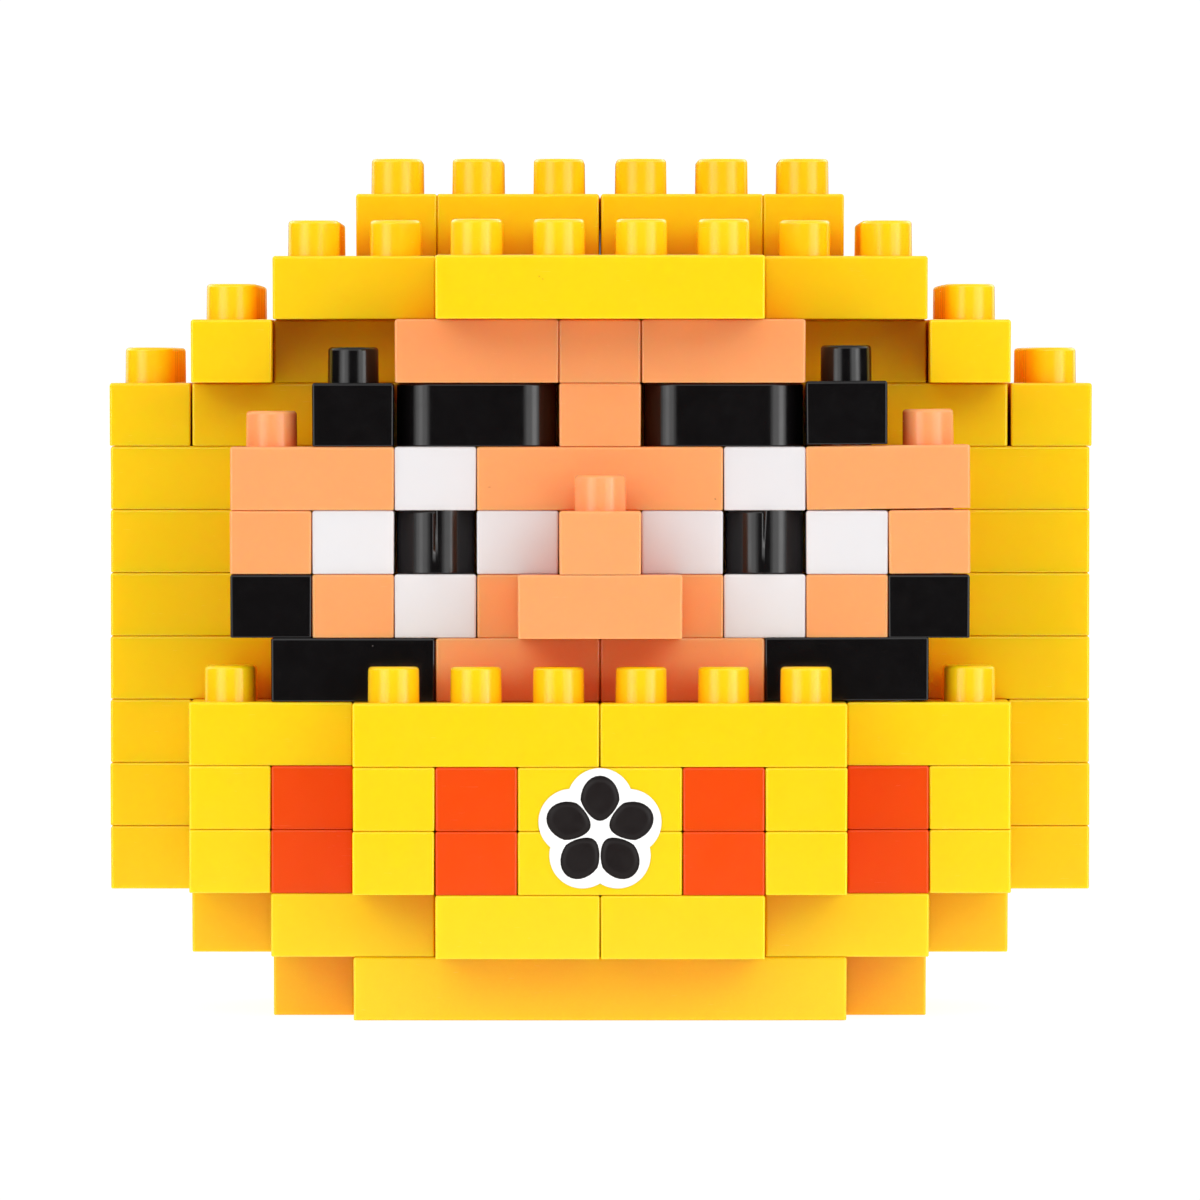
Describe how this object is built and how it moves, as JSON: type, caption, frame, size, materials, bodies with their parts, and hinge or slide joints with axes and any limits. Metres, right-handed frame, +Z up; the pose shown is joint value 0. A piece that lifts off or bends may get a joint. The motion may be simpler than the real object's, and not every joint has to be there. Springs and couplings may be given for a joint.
{
  "type": "daruma doll",
  "caption": "Small desk ornament of stacked micro bricks in the shape of a round daruma doll with a blocky face.",
  "frame": {"origin": "middle of the doll's footprint, on the surface it stands on", "axes": "+Z up; the face looks along -Y; +X is on the right of someone who looks at the face"},
  "size_m": [0.0478, 0.048, 0.042],
  "materials": {
    "yellow_plastic": "glossy moulded plastic, slightly translucent",
    "skin_plastic": "glossy moulded plastic",
    "white_plastic": "glossy moulded plastic",
    "black_plastic": "glossy moulded plastic",
    "orange_plastic": "glossy moulded plastic",
    "sticker_vinyl": "satin white vinyl with a black print"
  },
  "bodies": {
    "doll": {"beard_lower_left": "black_plastic", "beard_lower_right": "black_plastic", "beard_upper_left": "black_plastic", "beard_upper_right": "black_plastic", "belly_brick_lower": "yellow_plastic", "belly_brick_upper": "yellow_plastic", "belly_sticker": "sticker_vinyl", "brow_centre": "skin_plastic", "brow_left": "black_plastic", "brow_right": "black_plastic", "cheek_left": "skin_plastic", "cheek_right": "skin_plastic", "cheekbone_left": "skin_plastic", "cheekbone_right": "skin_plastic", "chin_left": "skin_plastic", "chin_right": "skin_plastic", "collar_course": "yellow_plastic", "eye_white_inner_left": "white_plastic", "eye_white_inner_right": "white_plastic", "eye_white_lower_left": "white_plastic", "eye_white_lower_right": "white_plastic", "eye_white_outer_left": "white_plastic", "eye_white_outer_right": "white_plastic", "eye_white_upper_left": "white_plastic", "eye_white_upper_right": "white_plastic", "foot_course": "yellow_plastic", "forehead_centre": "skin_plastic", "forehead_left": "skin_plastic", "forehead_right": "skin_plastic", "hood_brim": "yellow_plastic", "hood_course_brows": "yellow_plastic", "hood_course_cheekbones": "yellow_plastic", "hood_course_chin": "yellow_plastic", "hood_course_eyes": "yellow_plastic", "hood_course_forehead": "yellow_plastic", "hood_course_mouth": "yellow_plastic", "hood_course_top": "yellow_plastic", "hood_shoulder_left": "yellow_plastic", "hood_shoulder_right": "yellow_plastic", "lower_body_course": "yellow_plastic", "nose_base": "skin_plastic", "nose_bridge": "skin_plastic", "nose_tip": "skin_plastic", "pupil_left": "black_plastic", "pupil_right": "black_plastic", "robe_course_lower": "yellow_plastic", "robe_course_upper": "yellow_plastic", "robe_square_inner_left": "orange_plastic", "robe_square_inner_right": "orange_plastic", "robe_square_outer_left": "orange_plastic", "robe_square_outer_right": "orange_plastic", "temple_left": "skin_plastic", "temple_right": "skin_plastic", "upper_lip": "skin_plastic"},
    "crown_outer_left": {"crown_outer_left": "yellow_plastic"},
    "crown_inner_left": {"crown_inner_left": "yellow_plastic"},
    "crown_inner_right": {"crown_inner_right": "yellow_plastic"},
    "crown_outer_right": {"crown_outer_right": "yellow_plastic"},
    "brow_tip_left": {"brow_tip_left": "black_plastic"},
    "brow_tip_right": {"brow_tip_right": "black_plastic"}
  },
  "joints": [
    {"name": "crown_outer_left_lift", "type": "slide", "parent": "doll", "child": "crown_outer_left", "axis": [0, 0, 1], "range_m": [0, 0.006]},
    {"name": "crown_inner_left_lift", "type": "slide", "parent": "doll", "child": "crown_inner_left", "axis": [0, 0, 1], "range_m": [0, 0.006]},
    {"name": "crown_inner_right_lift", "type": "slide", "parent": "doll", "child": "crown_inner_right", "axis": [0, 0, 1], "range_m": [0, 0.006]},
    {"name": "crown_outer_right_lift", "type": "slide", "parent": "doll", "child": "crown_outer_right", "axis": [0, 0, 1], "range_m": [0, 0.006]},
    {"name": "brow_tip_left_lift", "type": "slide", "parent": "doll", "child": "brow_tip_left", "axis": [0, 0, 1], "range_m": [0, 0.006]},
    {"name": "brow_tip_right_lift", "type": "slide", "parent": "doll", "child": "brow_tip_right", "axis": [0, 0, 1], "range_m": [0, 0.006]}
  ]
}
